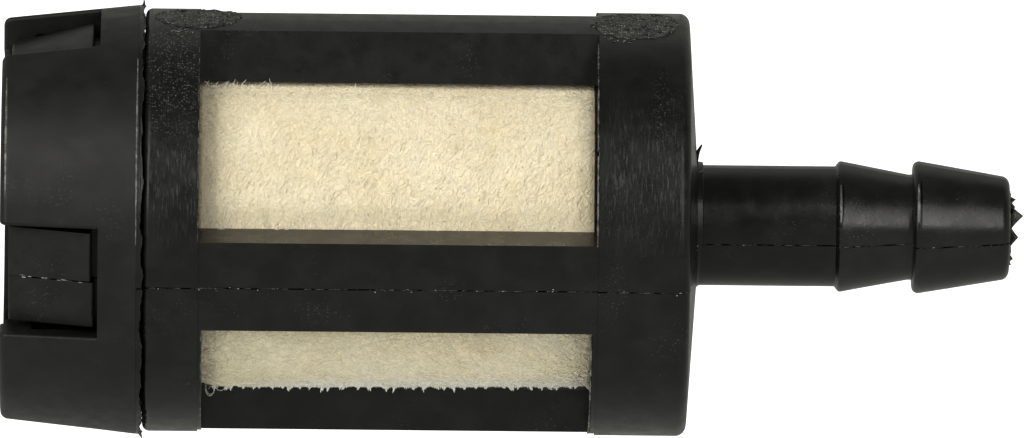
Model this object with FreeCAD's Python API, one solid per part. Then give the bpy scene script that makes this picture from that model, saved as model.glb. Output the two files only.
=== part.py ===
import FreeCAD, Part
import math
import os

# Small in-tank fuel filter: a moulded cage with a barbed hose neck, a felt sleeve held in the cage,
# and an end cap that snaps over four tongues. Lengths are in millimetres.
#
# The filter's axis is X. Stations are distances along the axis from the cap's end face. The model's
# origin is on the axis at the middle of the plain hose neck, and +X points out of the barbed end.
# The mould's parting plane is the XY plane, so the ribs and tongues stand on +Y, +Z, -Y and -Z.
ORIGIN_STATION = 29.1

# End cap
CAP_END_RADIUS = 7.6
CAP_RIM_RADIUS = 8.16
CAP_LENGTH = 5.21
CAP_END_WALL = 1.2
CAP_WALL_BORE = 7.0
CAP_CATCH_BORE = 7.25
CAP_EDGE_ROUND = 0.3
END_RECESS = 0.2
END_RECESS_RADIUS = 6.4
SLOT_LENGTH = 3.7
SLOT_HALF_WIDTH = 2.15
SLOT_FLOOR_RADIUS = 5.8
SLOT_LIP_ROUND = 0.12
PLUG_RADIUS = 6.2
PLUG_BORE = 5.0
PLUG_END = 5.9
POST_RADIUS = 2.2
POST_TIP_RADIUS = 1.6
POST_SHOULDER = 8.0
POST_END = 8.4

# Snap tongues
TONGUE_HALF_WIDTH = 1.85
TONGUE_TIP = 0.34
TONGUE_INNER_RADIUS = 6.45
TONGUE_SHANK_RADIUS = 6.92
TONGUE_TIP_RADIUS = 6.68
TONGUE_CATCH_RADIUS = 7.45
UPPER_CATCH_STATION = 3.46
LOWER_CATCH_STATION = 3.58
TONGUE_EDGE_ROUND = 0.1
SIDES = ("bottom", "back", "top", "front")

# Cage
RING_RADIUS = 8.03
RIB_RADIUS = 7.97
RIB_HALF_WIDTH = 1.75
TOP_RIB_LAND = 1.06
TOP_RIB_FOOT = 6.0
CAGE_BORE = 6.35
CAGE_START = 5.38
UPPER_WINDOW = (7.48, 22.56)
LOWER_WINDOW = (7.63, 22.37)
CHAMBER_END = 24.5
SHOULDER_EDGE = 26.0
SHOULDER_CROWN = 0.38
RING_EDGE_ROUND = 0.28
SHOULDER_ROUND = 0.4
MOUTH_ROUND = 0.1

# Outlet spigot, hose neck and barbs
OUTLET_BORE = 1.25
SPIGOT_RADIUS = 2.4
SPIGOT_START = 22.0
NECK_RADIUS = 2.29
NECK_ROOT_ROUND = 0.15
COLLAR_ROOT_RADIUS = 2.46
COLLAR_END_RADIUS = 2.4
COLLAR_END = 26.6
COLLAR_ROUND = 0.05
BARBS = (
    # foot station, crest station, crest radius, crest rounding, tail station, tail radius
    (31.62, 31.78, 2.5, 0.15, 34.39, 2.005),
    (34.55, 34.57, 2.557, 0.24, 38.25, 1.93),
)
NOSE = BARBS[-1][4]
NOSE_ROUND = 0.35
NOSE_BORE_ROUND = 0.08

# Felt sleeve, support core and screen
FELT_RADIUS = 6.2
FELT_BORE = 3.7
FELT_START = 6.0
FELT_END = 24.4
FELT_EDGE_ROUND = 0.25
CORE_RADIUS = 3.0
CORE_BORE = 2.45
CORE_START = 6.4
CORE_END = 24.4
CORE_HOLE_RADIUS = 0.65
CORE_FIRST_ROW = 9.8
CORE_ROW_PITCH = 2.6
CORE_ROWS = 5
SCREEN_RADIUS = 3.25
SCREEN_BORE = 3.05
SCREEN_START = 6.8
SCREEN_END = 24.0

FULL_TURN = 360.0
QUARTER_TURN = 90.0
MARGIN = 1.0
REACH = RING_RADIUS + MARGIN
CENTRE = FreeCAD.Vector(0, 0, 0)
AXIS = FreeCAD.Vector(1, 0, 0)


def along(station):
    """The X coordinate of a station."""
    return station - ORIGIN_STATION


def corner_edges(before, corner, after, rounding):
    """The first and last points of a corner of an outline, and the arc between them."""
    inward = (before - corner).normalize()
    outward = (after - corner).normalize()
    half_angle = inward.getAngle(outward) / 2
    run = rounding / math.tan(half_angle)
    first = corner + inward * run
    last = corner + outward * run
    bisector = (inward + outward).normalize()
    middle = corner + bisector * (rounding / math.sin(half_angle) - rounding)
    return first, last, Part.Arc(first, middle, last).toShape()


def outline(corners):
    """A closed outline in the XZ half plane, from (station, radius, rounding) corners."""
    points = [FreeCAD.Vector(along(station), 0, radius) for station, radius, _ in corners]
    edges = []
    ends = []
    for index, (_, _, rounding) in enumerate(corners):
        before = points[index - 1]
        corner = points[index]
        after = points[(index + 1) % len(points)]
        if rounding:
            first, last, arc = corner_edges(before, corner, after, rounding)
            ends.append((first, last, [arc]))
        else:
            ends.append((corner, corner, []))
    for index, (_, last, arcs) in enumerate(ends):
        following = ends[(index + 1) % len(ends)][0]
        edges.extend(arcs)
        edges.append(Part.LineSegment(last, following).toShape())
    return Part.Wire(edges)


def turned(corners):
    """A solid turned about the filter's axis."""
    return Part.Face(outline(corners)).revolve(CENTRE, AXIS, FULL_TURN)


def tube(start, end, outer, inner, rounding=0):
    """A plain tube between two stations, with its outer edges rounded."""
    corners = [(start, outer, rounding), (end, outer, rounding), (end, inner, 0), (start, inner, 0)]
    return turned(corners)


def radial_block(start, end, inner, half_width):
    """A block that stands on the -Z side of the axis, from an inner radius outwards."""
    corner = FreeCAD.Vector(along(start), -half_width, -REACH)
    return Part.makeBox(end - start, 2 * half_width, REACH - inner, corner)


def turned_about_axis(shape, quarter):
    """A copy of a shape, turned about the axis by a number of quarter turns."""
    copy = shape.copy()
    copy.rotate(CENTRE, AXIS, quarter * QUARTER_TURN)
    return copy


def on_every_side(shape):
    """Four copies of a shape, a quarter turn apart."""
    return [turned_about_axis(shape, quarter) for quarter in range(len(SIDES))]


def mould_half(start, end, upper):
    """The space of one mould half between two stations, above or below the parting plane."""
    floor = 0 if upper else -REACH
    return Part.makeBox(end - start, 2 * REACH, REACH, FreeCAD.Vector(along(start), -REACH, floor))


def rounded_where(shape, rounding, wanted):
    """The shape with the edges that a test accepts rounded."""
    edges = [edge for edge in shape.Edges if wanted(edge)]
    return shape.makeFillet(rounding, edges)


# Cage

def cage_outline():
    """The cage, neck and barbs as one outline, with the rib zone a little below the rings."""
    corners = [
        (CAGE_START, CAGE_BORE, MOUTH_ROUND),
        (CAGE_START, RING_RADIUS, RING_EDGE_ROUND),
        (UPPER_WINDOW[0], RING_RADIUS, 0),
        (UPPER_WINDOW[0], RIB_RADIUS, 0),
        (UPPER_WINDOW[1], RIB_RADIUS, 0),
        (UPPER_WINDOW[1], RING_RADIUS, 0),
        (SHOULDER_EDGE, RING_RADIUS, SHOULDER_ROUND),
        (SHOULDER_EDGE + SHOULDER_CROWN, NECK_RADIUS, NECK_ROOT_ROUND),
    ]
    for foot, crest, crest_radius, crest_round, tail, tail_radius in BARBS:
        foot_radius = corners[-1][1]
        tail_round = NOSE_ROUND if tail == NOSE else 0
        corners.append((foot, foot_radius, 0))
        corners.append((crest, crest_radius, crest_round))
        corners.append((tail, tail_radius, tail_round))
    corners.append((NOSE, OUTLET_BORE, NOSE_BORE_ROUND))
    corners.append((SPIGOT_START, OUTLET_BORE, 0))
    corners.append((SPIGOT_START, SPIGOT_RADIUS, MOUTH_ROUND))
    corners.append((CHAMBER_END, SPIGOT_RADIUS, MOUTH_ROUND))
    corners.append((CHAMBER_END, CAGE_BORE, MOUTH_ROUND))
    return corners


def windows():
    """The four windows. Those in the lower mould half are a little shorter, and square-sided."""
    upper = window(*UPPER_WINDOW, TOP_RIB_LAND)
    lower = window(*LOWER_WINDOW, RIB_HALF_WIDTH)
    mirror = FreeCAD.Vector(0, 1, 0)
    return [upper, upper.mirror(CENTRE, mirror), turned_about_axis(lower, 2), turned_about_axis(lower, 3)]


def window(start, end, land):
    """The window at the back and top. The rib above it narrows outwards to a half width, its land."""
    lean = (RIB_HALF_WIDTH - land) / (RING_RADIUS - TOP_RIB_FOOT)
    rim = RIB_HALF_WIDTH - lean * (REACH - TOP_RIB_FOOT)
    corners = [
        (RIB_HALF_WIDTH, RIB_HALF_WIDTH),
        (REACH, RIB_HALF_WIDTH),
        (REACH, REACH),
        (rim, REACH),
        (RIB_HALF_WIDTH, TOP_RIB_FOOT),
        (RIB_HALF_WIDTH, RIB_HALF_WIDTH),
    ]
    section = Part.makePolygon([FreeCAD.Vector(along(start), y, z) for y, z in corners])
    return Part.Face(section).extrude(FreeCAD.Vector(end - start, 0, 0))


def top_rib_land():
    """The top rib's outermost layer, which the upper mould half forms level with the rings."""
    layer = tube(UPPER_WINDOW[0], UPPER_WINDOW[1], RING_RADIUS, CAGE_BORE)
    blade = radial_block(UPPER_WINDOW[0], UPPER_WINDOW[1], CAGE_BORE, RIB_HALF_WIDTH)
    return layer.common(turned_about_axis(blade, 2))


def neck_collar():
    """The low tapered collar at the neck's root, which only the upper mould half forms."""
    ring = turned([
        (SHOULDER_EDGE, OUTLET_BORE, 0),
        (SHOULDER_EDGE, COLLAR_ROOT_RADIUS, 0),
        (COLLAR_END, COLLAR_END_RADIUS, COLLAR_ROUND),
        (COLLAR_END, OUTLET_BORE, 0),
    ])
    return ring.common(mould_half(SHOULDER_EDGE, COLLAR_END, upper=True))


def cage_body():
    cage = turned(cage_outline()).fuse(neck_collar()).removeSplitter()
    cage = cage.fuse(top_rib_land())
    for opening in windows():
        cage = cage.cut(opening)
    return cage


# Snap tongues

def tongue_ring(catch_station):
    """All the tongues' section, turned, with the ramp ending in a catch."""
    corners = [
        (CAGE_START, TONGUE_INNER_RADIUS, 0),
        (CAGE_START, TONGUE_SHANK_RADIUS, 0),
        (catch_station, TONGUE_SHANK_RADIUS, 0),
        (catch_station, TONGUE_CATCH_RADIUS, TONGUE_EDGE_ROUND),
        (TONGUE_TIP, TONGUE_TIP_RADIUS, TONGUE_EDGE_ROUND),
        (TONGUE_TIP, TONGUE_INNER_RADIUS, TONGUE_EDGE_ROUND),
    ]
    return turned(corners)


def snap_tongues():
    """The four tongues, whose catches sit at slightly different stations in the two mould halves."""
    upper = tongue_ring(UPPER_CATCH_STATION).common(mould_half(TONGUE_TIP, CAGE_START, upper=True))
    lower = tongue_ring(LOWER_CATCH_STATION).common(mould_half(TONGUE_TIP, CAGE_START, upper=False))
    both = upper.fuse(lower)
    blade = radial_block(TONGUE_TIP, CAGE_START, 0, TONGUE_HALF_WIDTH)
    return [both.common(side).removeSplitter() for side in on_every_side(blade)]


# End cap

def cap_outline():
    """The cap's recessed end wall, its rim with the catch land, the plug ring and the centre post."""
    return [
        (END_RECESS, 0, 0),
        (END_RECESS, END_RECESS_RADIUS, 0),
        (0, END_RECESS_RADIUS, 0),
        (0, CAP_END_RADIUS, CAP_EDGE_ROUND),
        (CAP_LENGTH, CAP_RIM_RADIUS, MOUTH_ROUND),
        (CAP_LENGTH, CAP_CATCH_BORE, MOUTH_ROUND),
        (SLOT_LENGTH, CAP_CATCH_BORE, 0),
        (SLOT_LENGTH, CAP_WALL_BORE, 0),
        (CAP_END_WALL, CAP_WALL_BORE, MOUTH_ROUND),
        (CAP_END_WALL, PLUG_RADIUS, MOUTH_ROUND),
        (PLUG_END, PLUG_RADIUS, MOUTH_ROUND),
        (PLUG_END, PLUG_BORE, MOUTH_ROUND),
        (CAP_END_WALL, PLUG_BORE, MOUTH_ROUND),
        (CAP_END_WALL, POST_RADIUS, MOUTH_ROUND),
        (POST_SHOULDER, POST_RADIUS, 0),
        (POST_END, POST_TIP_RADIUS, 0),
        (POST_END, 0, 0),
    ]


def is_slot_lip(edge):
    """Whether an edge is where a slot's side meets the cap's tapered outside."""
    middle = edge.CenterOfMass
    length = edge.BoundBox.XLength
    radius = math.hypot(middle.y, middle.z)
    in_slot = middle.x < along(SLOT_LENGTH) and length > SLOT_LENGTH / 2
    return in_slot and radius > CAP_END_RADIUS


def tongue_room():
    """The room that a tongue stands and bends in, turned: the slot, then under the catch land."""
    return turned([
        (-MARGIN, SLOT_FLOOR_RADIUS, 0),
        (-MARGIN, REACH, 0),
        (SLOT_LENGTH, REACH, 0),
        (SLOT_LENGTH, CAP_WALL_BORE, 0),
        (PLUG_END + MARGIN, CAP_WALL_BORE, 0),
        (PLUG_END + MARGIN, SLOT_FLOOR_RADIUS, 0),
    ])


def end_cap():
    cap = turned(cap_outline())
    block = radial_block(-MARGIN, PLUG_END + MARGIN, 0, SLOT_HALF_WIDTH)
    for side in on_every_side(tongue_room().common(block)):
        cap = cap.cut(side)
    return rounded_where(cap.removeSplitter(), SLOT_LIP_ROUND, is_slot_lip)


# Filter element

def felt_sleeve():
    return tube(FELT_START, FELT_END, FELT_RADIUS, FELT_BORE, FELT_EDGE_ROUND)


def support_core():
    """The perforated tube that carries the screen, with each row of holes turned from the last."""
    core = tube(CORE_START, CORE_END, CORE_RADIUS, CORE_BORE)
    for row in range(CORE_ROWS):
        station = CORE_FIRST_ROW + row * CORE_ROW_PITCH
        start = FreeCAD.Vector(along(station), 0, -REACH)
        drill = Part.makeCylinder(CORE_HOLE_RADIUS, 2 * REACH, start)
        drill.rotate(CENTRE, AXIS, (row % 2) * QUARTER_TURN / 2)
        core = core.cut(drill).cut(turned_about_axis(drill, 1))
    return core


def screen_sock():
    return tube(SCREEN_START, SCREEN_END, SCREEN_RADIUS, SCREEN_BORE)


def write(name, shape):
    """Write one sub-part, after testing that it is one sound solid."""
    if len(shape.Solids) != 1 or not shape.isValid():
        raise ValueError(f"{name} is not one sound solid")
    shape.Solids[0].exportStep(f"parts/{name}.step")
    box = shape.BoundBox
    print(f"{name}: {shape.Volume:.1f} mm3, X {box.XMin:.2f} to {box.XMax:.2f}, Z {box.ZMin:.2f} to {box.ZMax:.2f}")


def main():
    os.makedirs("parts", exist_ok=True)
    write("cage_body", cage_body())
    for side, tongue in zip(SIDES, snap_tongues()):
        write(f"snap_tongue_{side}", tongue)
    write("end_cap", end_cap())
    write("felt_sleeve", felt_sleeve())
    write("support_core", support_core())
    write("screen_sock", screen_sock())


main()
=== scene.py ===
import math

import bpy
import numpy as np
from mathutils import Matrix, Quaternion, Vector


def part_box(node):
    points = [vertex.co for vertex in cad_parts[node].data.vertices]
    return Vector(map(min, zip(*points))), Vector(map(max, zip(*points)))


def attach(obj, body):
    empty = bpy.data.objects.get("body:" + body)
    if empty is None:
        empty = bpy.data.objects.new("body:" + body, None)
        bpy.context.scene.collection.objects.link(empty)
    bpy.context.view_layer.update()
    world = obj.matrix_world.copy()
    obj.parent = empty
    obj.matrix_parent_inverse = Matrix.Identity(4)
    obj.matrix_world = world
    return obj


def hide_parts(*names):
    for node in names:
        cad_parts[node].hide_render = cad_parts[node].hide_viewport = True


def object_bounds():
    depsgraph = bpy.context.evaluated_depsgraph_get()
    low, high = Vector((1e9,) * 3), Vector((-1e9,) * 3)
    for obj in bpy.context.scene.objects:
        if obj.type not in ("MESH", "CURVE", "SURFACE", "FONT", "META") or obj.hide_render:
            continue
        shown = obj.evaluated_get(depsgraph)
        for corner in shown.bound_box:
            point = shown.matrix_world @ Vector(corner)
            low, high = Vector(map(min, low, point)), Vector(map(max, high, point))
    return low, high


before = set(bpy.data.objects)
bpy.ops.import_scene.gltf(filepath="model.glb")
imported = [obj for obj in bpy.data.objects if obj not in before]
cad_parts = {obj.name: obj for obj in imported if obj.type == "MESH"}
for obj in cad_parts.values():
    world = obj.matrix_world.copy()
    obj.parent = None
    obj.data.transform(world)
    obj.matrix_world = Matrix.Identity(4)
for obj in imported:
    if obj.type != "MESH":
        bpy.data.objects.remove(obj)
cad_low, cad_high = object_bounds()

# The fuel filter's looks. Lengths here are in millimetres unless a name says otherwise, and go into
# Blender in metres. Stations are distances along the axis from the cap's end face, as in the CAD.
# Bearings go round the axis from the front (-Y) over the top (+Z), in degrees.
MM = 0.001
ORIGIN_STATION = -cad_low.x / MM
FRONT, TOP, BACK, BOTTOM = 0.0, 90.0, 180.0, 270.0

# What the frame gives
RING_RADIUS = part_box("cage_body")[1].z / MM
CAP_RIM_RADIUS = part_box("end_cap")[1].z / MM
CAGE_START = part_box("cage_body")[0].x / MM + ORIGIN_STATION
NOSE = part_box("cage_body")[1].x / MM + ORIGIN_STATION
TONGUE_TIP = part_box("snap_tongue_front")[0].x / MM + ORIGIN_STATION
TONGUE_TOP_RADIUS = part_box("snap_tongue_top")[1].z / MM
FELT_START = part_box("felt_sleeve")[0].x / MM + ORIGIN_STATION
FELT_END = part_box("felt_sleeve")[1].x / MM + ORIGIN_STATION
FELT_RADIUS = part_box("felt_sleeve")[1].z / MM
SCREEN_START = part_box("screen_sock")[0].x / MM + ORIGIN_STATION
SCREEN_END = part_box("screen_sock")[1].x / MM + ORIGIN_STATION
SCREEN_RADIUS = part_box("screen_sock")[1].z / MM

# The moulding's outline
CAP_LENGTH = 5.21
WINDOW_START, WINDOW_END = 7.48, 22.56
LOWER_WINDOW_START, LOWER_WINDOW_END = 7.63, 22.37
RIB_RADIUS = 7.97
RIB_HALF_WIDTH = 1.75
SHOULDER = 26.38
NECK_START, NECK_RADIUS = 26.6, 2.29
FIRST_BARB, FIRST_BARB_RADIUS = 31.82, 2.475
SECOND_BARB, SECOND_BARB_RADIUS = 34.81, 2.515
CATCH_STATION = 3.46
TONGUE_TIP_RADIUS = 6.68
FELT_BORE = 3.7
FELT_CORNER = 0.15
OUTLET_BORE = 1.25

# How deep a fin of flash is rooted
FIN_ROOT = 0.03
# A nick's height above the surface along its length
NICK_SHAPE = ((0.0, -0.02), (0.3, 0.014), (0.7, 0.014), (1.0, -0.02))

# The camera
VIEW_ELEVATION = 18.8
VIEW_YAW = 0.65
VIEW_ROLL = 0.79
VIEW_DISTANCE = 780.0
VIEW_WIDTH = 38.91
VIEW_STATION = 19.36
VIEW_RISE = 0.156
SENSOR_WIDTH = 36.0
LIGHT_DISTANCE = 300.0
FLOOR_DROP, FLOOR_HALF_WIDTH = 60.0, 6000.0

# How brightly the surroundings show in the shiny black nylon, from below, level and overhead
MIRRORED_BELOW = 0.31
MIRRORED_LEVEL = 0.24
MIRRORED_OVERHEAD = 0.08
# How brightly they light the felt, from below and overhead
LIT_BELOW = 1.0
LIT_OVERHEAD = 0.36


def at(station):
    """The X coordinate of a station, in millimetres."""
    return station - ORIGIN_STATION


def around(station, radius, bearing):
    """A point, or an array of points, at a station, radius and bearing."""
    turn = np.radians(bearing)
    station, radius, turn = np.broadcast_arrays(station, radius, turn)
    return np.stack([station - ORIGIN_STATION, -radius * np.cos(turn), radius * np.sin(turn)], axis=-1)


def ragged(positions, wavelength, seed, waves=7):
    """Smooth seeded noise along a line, from about -1 to 1, with that longest wavelength."""
    random = np.random.default_rng(seed)
    total = np.zeros(len(positions))
    for wave in range(waves):
        pace = 2 * math.pi * (1 + 0.8 * wave) / wavelength
        total += np.sin(positions * pace + random.uniform(0, 2 * math.pi)) / (1 + 0.45 * wave)
    return total / 2.4


class Form:
    """The points and faces of a piece while it is being built, in millimetres."""

    def __init__(self):
        self.points = []
        self.faces = []
        self.count = 0

    def add(self, points, faces):
        self.points.append(np.asarray(points, float).reshape(-1, 3))
        self.faces.extend([tuple(index + self.count for index in face) for face in faces])
        self.count += len(self.points[-1])

    def piece(self, name, material, body):
        """Makes the Blender object."""
        mesh = bpy.data.meshes.new(name)
        mesh.from_pydata((np.concatenate(self.points) * MM).tolist(), [], self.faces)
        mesh.polygons.foreach_set("use_smooth", [True] * len(mesh.polygons))
        return place(name, mesh, material, body)


def place(name, mesh, material, body):
    """Puts a mesh in the scene, riding on a body and taking its finish from a slot."""
    mesh.materials.append(material)
    made = bpy.data.objects.new(name, mesh)
    bpy.context.scene.collection.objects.link(made)
    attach(made, body)
    return made


def threads(name, paths, half_width, material, body):
    """Many fine three-sided threads with pointed ends. Paths has a row of points for each thread."""
    count, knots = paths.shape[:2]
    ahead = np.gradient(paths, axis=1)
    ahead /= np.linalg.norm(ahead, axis=2, keepdims=True) + 1e-9
    side = np.cross(ahead, [0.31, 0.53, 0.79])
    side /= np.linalg.norm(side, axis=2, keepdims=True) + 1e-9
    other = np.cross(ahead, side)
    half_width = np.broadcast_to(half_width, count)[:, None, None]
    corners = [paths[:, :1]]
    for knot in range(1, knots - 1):
        for turn in (0, 2 * math.pi / 3, 4 * math.pi / 3):
            offset = side[:, knot] * math.cos(turn) + other[:, knot] * math.sin(turn)
            corners.append(paths[:, knot:knot + 1] + half_width * offset[:, None])
    corners.append(paths[:, -1:])
    points = np.concatenate(corners, axis=1)
    last = points.shape[1] - 1
    pattern = [(0, 2, 1), (0, 3, 2), (0, 1, 3)]
    pattern += [(last, last - 3, last - 2), (last, last - 2, last - 1), (last, last - 1, last - 3)]
    for ring in range(knots - 3):
        for side_index in range(3):
            here = 1 + 3 * ring + side_index
            beside = 1 + 3 * ring + (side_index + 1) % 3
            pattern += [(here, beside, beside + 3), (here, beside + 3, here + 3)]
    faces = (np.array(pattern)[None] + (last + 1) * np.arange(count)[:, None, None]).ravel()
    mesh = bpy.data.meshes.new(name)
    mesh.vertices.add(points.size // 3)
    mesh.vertices.foreach_set("co", (points * MM).astype(np.float32).ravel())
    mesh.loops.add(len(faces))
    mesh.loops.foreach_set("vertex_index", faces.astype(np.int32))
    mesh.polygons.add(len(faces) // 3)
    mesh.polygons.foreach_set("loop_start", np.arange(0, len(faces), 3, dtype=np.int32))
    mesh.update(calc_edges=True)
    mesh.polygons.foreach_set("use_smooth", [True] * len(mesh.polygons))
    return place(name, mesh, material, body)


def band_faces(rows, columns, closed_rows=False):
    """The quads between rows of points. Each row closes on itself."""
    faces = []
    for row in range(rows if closed_rows else rows - 1):
        below = row * columns
        above = (row + 1) % rows * columns
        for column in range(columns):
            beside = (column + 1) % columns
            faces.append((below + column, below + beside, above + beside, above + column))
    return faces


def tube(form, rings, closed=False):
    """Joins rings of points into a tube, which has flat ends unless it closes on itself."""
    rings = np.asarray(rings)
    count, sides = rings.shape[:2]
    faces = band_faces(count, sides, closed)
    if not closed:
        last = (count - 1) * sides
        faces += [tuple(range(sides))[::-1], tuple(range(last, last + sides))]
    form.add(rings, faces)


def shell(name, rings, material, body):
    """A closed shell made of rings round the axis."""
    form = Form()
    tube(form, rings, closed=True)
    return form.piece(name, material, body)


# Materials

class Nodes:
    """A node tree, with short ways to add nodes and join them."""

    def __init__(self, tree, coordinates):
        self.tree = tree
        self.place = self.node("ShaderNodeTexCoord").outputs[coordinates]

    def node(self, kind, inputs=None, **settings):
        """A new node. Inputs gives each socket a number, a colour or another node's output."""
        made = self.tree.nodes.new(kind)
        for name, value in settings.items():
            setattr(made, name, value)
        for name, value in (inputs or {}).items():
            self.feed(made.inputs[name], value)
        return made

    def feed(self, socket, value):
        if isinstance(value, bpy.types.NodeSocket):
            self.tree.links.new(value, socket)
        else:
            socket.default_value = value

    def split_place(self):
        return self.node("ShaderNodeSeparateXYZ", {0: self.place}).outputs

    def math(self, operation, first, second=0.0):
        return self.node("ShaderNodeMath", {0: first, 1: second}, operation=operation).outputs[0]

    def times(self, first, second):
        return self.math("MULTIPLY", first, second)

    def plus(self, first, second):
        return self.math("ADD", first, second)

    def span(self, value, low, high, to_low=0.0, to_high=1.0):
        """A value that changes smoothly as another one goes from low to high."""
        ends = {"From Min": low, "From Max": high, "To Min": to_low, "To Max": to_high}
        inputs = {"Value": value, **ends}
        return self.node("ShaderNodeMapRange", inputs, interpolation_type="SMOOTHSTEP").outputs["Result"]

    def mix(self, share, first, second, kind="RGBA"):
        made = self.node("ShaderNodeMix", data_type=kind)
        sockets = [socket for socket in made.inputs if socket.enabled]
        for socket, value in zip(sockets, (share, first, second)):
            self.feed(socket, value)
        return [socket for socket in made.outputs if socket.enabled][0]


class Surface(Nodes):
    """A material, with the textures that the filter's plastics and felt use."""

    def __init__(self, name):
        self.material = bpy.data.materials.new(name)
        self.material.use_nodes = True
        super().__init__(self.material.node_tree, "Object")
        self.shader = self.tree.nodes["Principled BSDF"]

    def noise(self, scale, detail=3.0, roughness=0.55, vector=None):
        inputs = {"Vector": vector or self.place, "Scale": scale, "Detail": detail, "Roughness": roughness}
        return self.node("ShaderNodeTexNoise", inputs).outputs["Fac"]

    def bump(self, height, strength, distance_mm, below=None):
        inputs = {"Strength": strength, "Distance": distance_mm * MM, "Height": height}
        if below:
            inputs["Normal"] = below
        return self.node("ShaderNodeBump", inputs).outputs["Normal"]

    def wrapped(self):
        """Coordinates that run along the axis and round it, in metres, with the station and bearing."""
        x, y, z = self.split_place()
        turn = self.math("ARCTAN2", z, self.times(y, -1.0))
        made = self.node("ShaderNodeCombineXYZ", {0: x, 1: self.times(turn, RING_RADIUS * MM)})
        return made.outputs[0], x, turn

    def along(self, x, first, last, at_first=0.0, at_last=1.0):
        """A value that changes smoothly between two stations."""
        return self.span(x, at(first) * MM, at(last) * MM, at_first, at_last)

    def set(self, **values):
        for name, value in values.items():
            self.feed(self.shader.inputs[name.replace("_", " ")], value)


def stretched(surface, vector, along, across):
    """A vector scaled differently along the axis and round it."""
    inputs = {0: vector, 1: (along, across, 1.0)}
    return surface.node("ShaderNodeVectorMath", inputs, operation="MULTIPLY").outputs[0]


def patch(surface, x, turn, stations, bearings):
    """A soft-edged patch of the surface between two stations and two bearings."""
    first, last = stations
    low, high = (math.radians(bearing) for bearing in bearings)
    edge, lean = 0.35, math.radians(14)
    total = surface.along(x, first - edge, first + edge)
    for part in (
        surface.along(x, last - edge, last + edge, 1.0, 0.0),
        surface.span(turn, low - lean, low + lean),
        surface.span(turn, high - lean, high + lean, 1.0, 0.0),
    ):
        total = surface.times(total, part)
    return total


def dust(surface, size_mm, share):
    """Tiny uneven specks, in about that share of the cells they are scattered in."""
    inputs = {"Vector": surface.place, "Scale": 1 / (size_mm * MM)}
    cells = surface.node("ShaderNodeTexVoronoi", inputs).outputs
    chance = surface.node("ShaderNodeSeparateColor", {0: cells["Color"]}).outputs[0]
    dots = surface.span(cells["Distance"], 0.12, 0.45, 1.0, 0.0)
    return surface.times(dots, surface.span(chance, 1 - 1.4 * share, 1.0))


def seam(surface):
    """The mask of a thin broken line on the parting plane where the mould halves met, used to paint a
    shadow line there.
    """
    wander = surface.times(surface.math("SUBTRACT", surface.noise(900.0, 3.0), 0.5), 0.05 * MM)
    height = surface.math("ABSOLUTE", surface.plus(surface.split_place()[2], wander))
    line = surface.span(height, 0.016 * MM, 0.04 * MM, 1.0, 0.0)
    dashes = surface.span(surface.noise(1700.0, 2.0), 0.36, 0.5, 0.25, 1.0)
    return surface.times(line, dashes)


def black_nylon(name, rough_body, rough_neck, shine, speck_patches, scuff_patches, parted):
    """Moulded black nylon: mottled and faintly grained, with dust, scuffs round the axis and a painted
    shadow line along the seam.
    """
    dark, lighter = (0.0040, 0.0041, 0.0034, 1), (0.0078, 0.0079, 0.0066, 1)
    surface = Surface(name)
    wrapped, x, turn = surface.wrapped()
    base = surface.mix(surface.span(surface.noise(800.0, 4.0), 0.35, 0.7), dark, lighter)
    thinly = surface.span(surface.noise(420.0, 2.0), 0.5, 0.75, 0.0, 0.6)
    specks = surface.times(dust(surface, 0.08, 0.3), thinly)
    for speck_patch in speck_patches:
        dense = surface.times(dust(surface, 0.085, 0.6), patch(surface, x, turn, *speck_patch))
        specks = surface.math("MAXIMUM", specks, dense)
    base = surface.mix(specks, base, (0.10, 0.102, 0.092, 1))
    streaks = surface.noise(1.0, 4.0, 0.65, stretched(surface, wrapped, 15000.0, 1500.0))
    scuffed = 0.0
    for scuff_patch in scuff_patches:
        scuffed = surface.math("MAXIMUM", scuffed, patch(surface, x, turn, *scuff_patch))
    scuffed = surface.times(surface.span(streaks, 0.5, 0.75), scuffed)
    base = surface.mix(scuffed, base, (0.032, 0.033, 0.029, 1))
    shine = surface.along(x, FIRST_BARB - 0.3, FIRST_BARB, shine, shine + 0.17)
    if parted:
        # painted shadow: the seam is painted near black and made less shiny, standing in for the shade
        # under a flash fin
        line = seam(surface)
        base = surface.mix(line, base, (0.0008, 0.0008, 0.0007, 1))
        shine = surface.times(shine, surface.math("SUBTRACT", 1.0, line))
    swell = surface.noise(1500.0, 3.0)
    normal = surface.bump(swell, 0.3, 0.02)
    normal = surface.bump(surface.noise(14000.0, 3.0, 0.6), 0.2, 0.012, normal)
    normal = surface.bump(scuffed, 0.25, 0.012, normal)
    neckness = surface.along(x, SHOULDER, NECK_START + 0.2)
    level = surface.plus(surface.times(neckness, rough_neck - rough_body), rough_body)
    rough = surface.plus(level, surface.span(swell, 0.3, 0.7, -0.04, 0.06))
    rough = surface.plus(rough, surface.times(scuffed, 0.06))
    surface.set(Base_Color=base, Roughness=rough, Normal=normal, Specular_IOR_Level=shine)
    return surface.material


def torn_nylon(name):
    """Black nylon where it was torn off: coarse, granular and full of pale points."""
    surface = Surface(name)
    specks = dust(surface, 0.09, 0.75)
    mottle = surface.span(surface.noise(2600.0, 4.0), 0.35, 0.65)
    base = surface.mix(mottle, (0.003, 0.003, 0.0025, 1), (0.03, 0.03, 0.027, 1))
    surface.set(
        Base_Color=surface.mix(specks, base, (0.22, 0.222, 0.2, 1)),
        Roughness=surface.span(surface.noise(6000.0, 3.0), 0.3, 0.7, 0.3, 0.6),
        Normal=surface.bump(surface.noise(7000.0, 4.0, 0.6), 0.8, 0.05),
    )
    return surface.material


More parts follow.
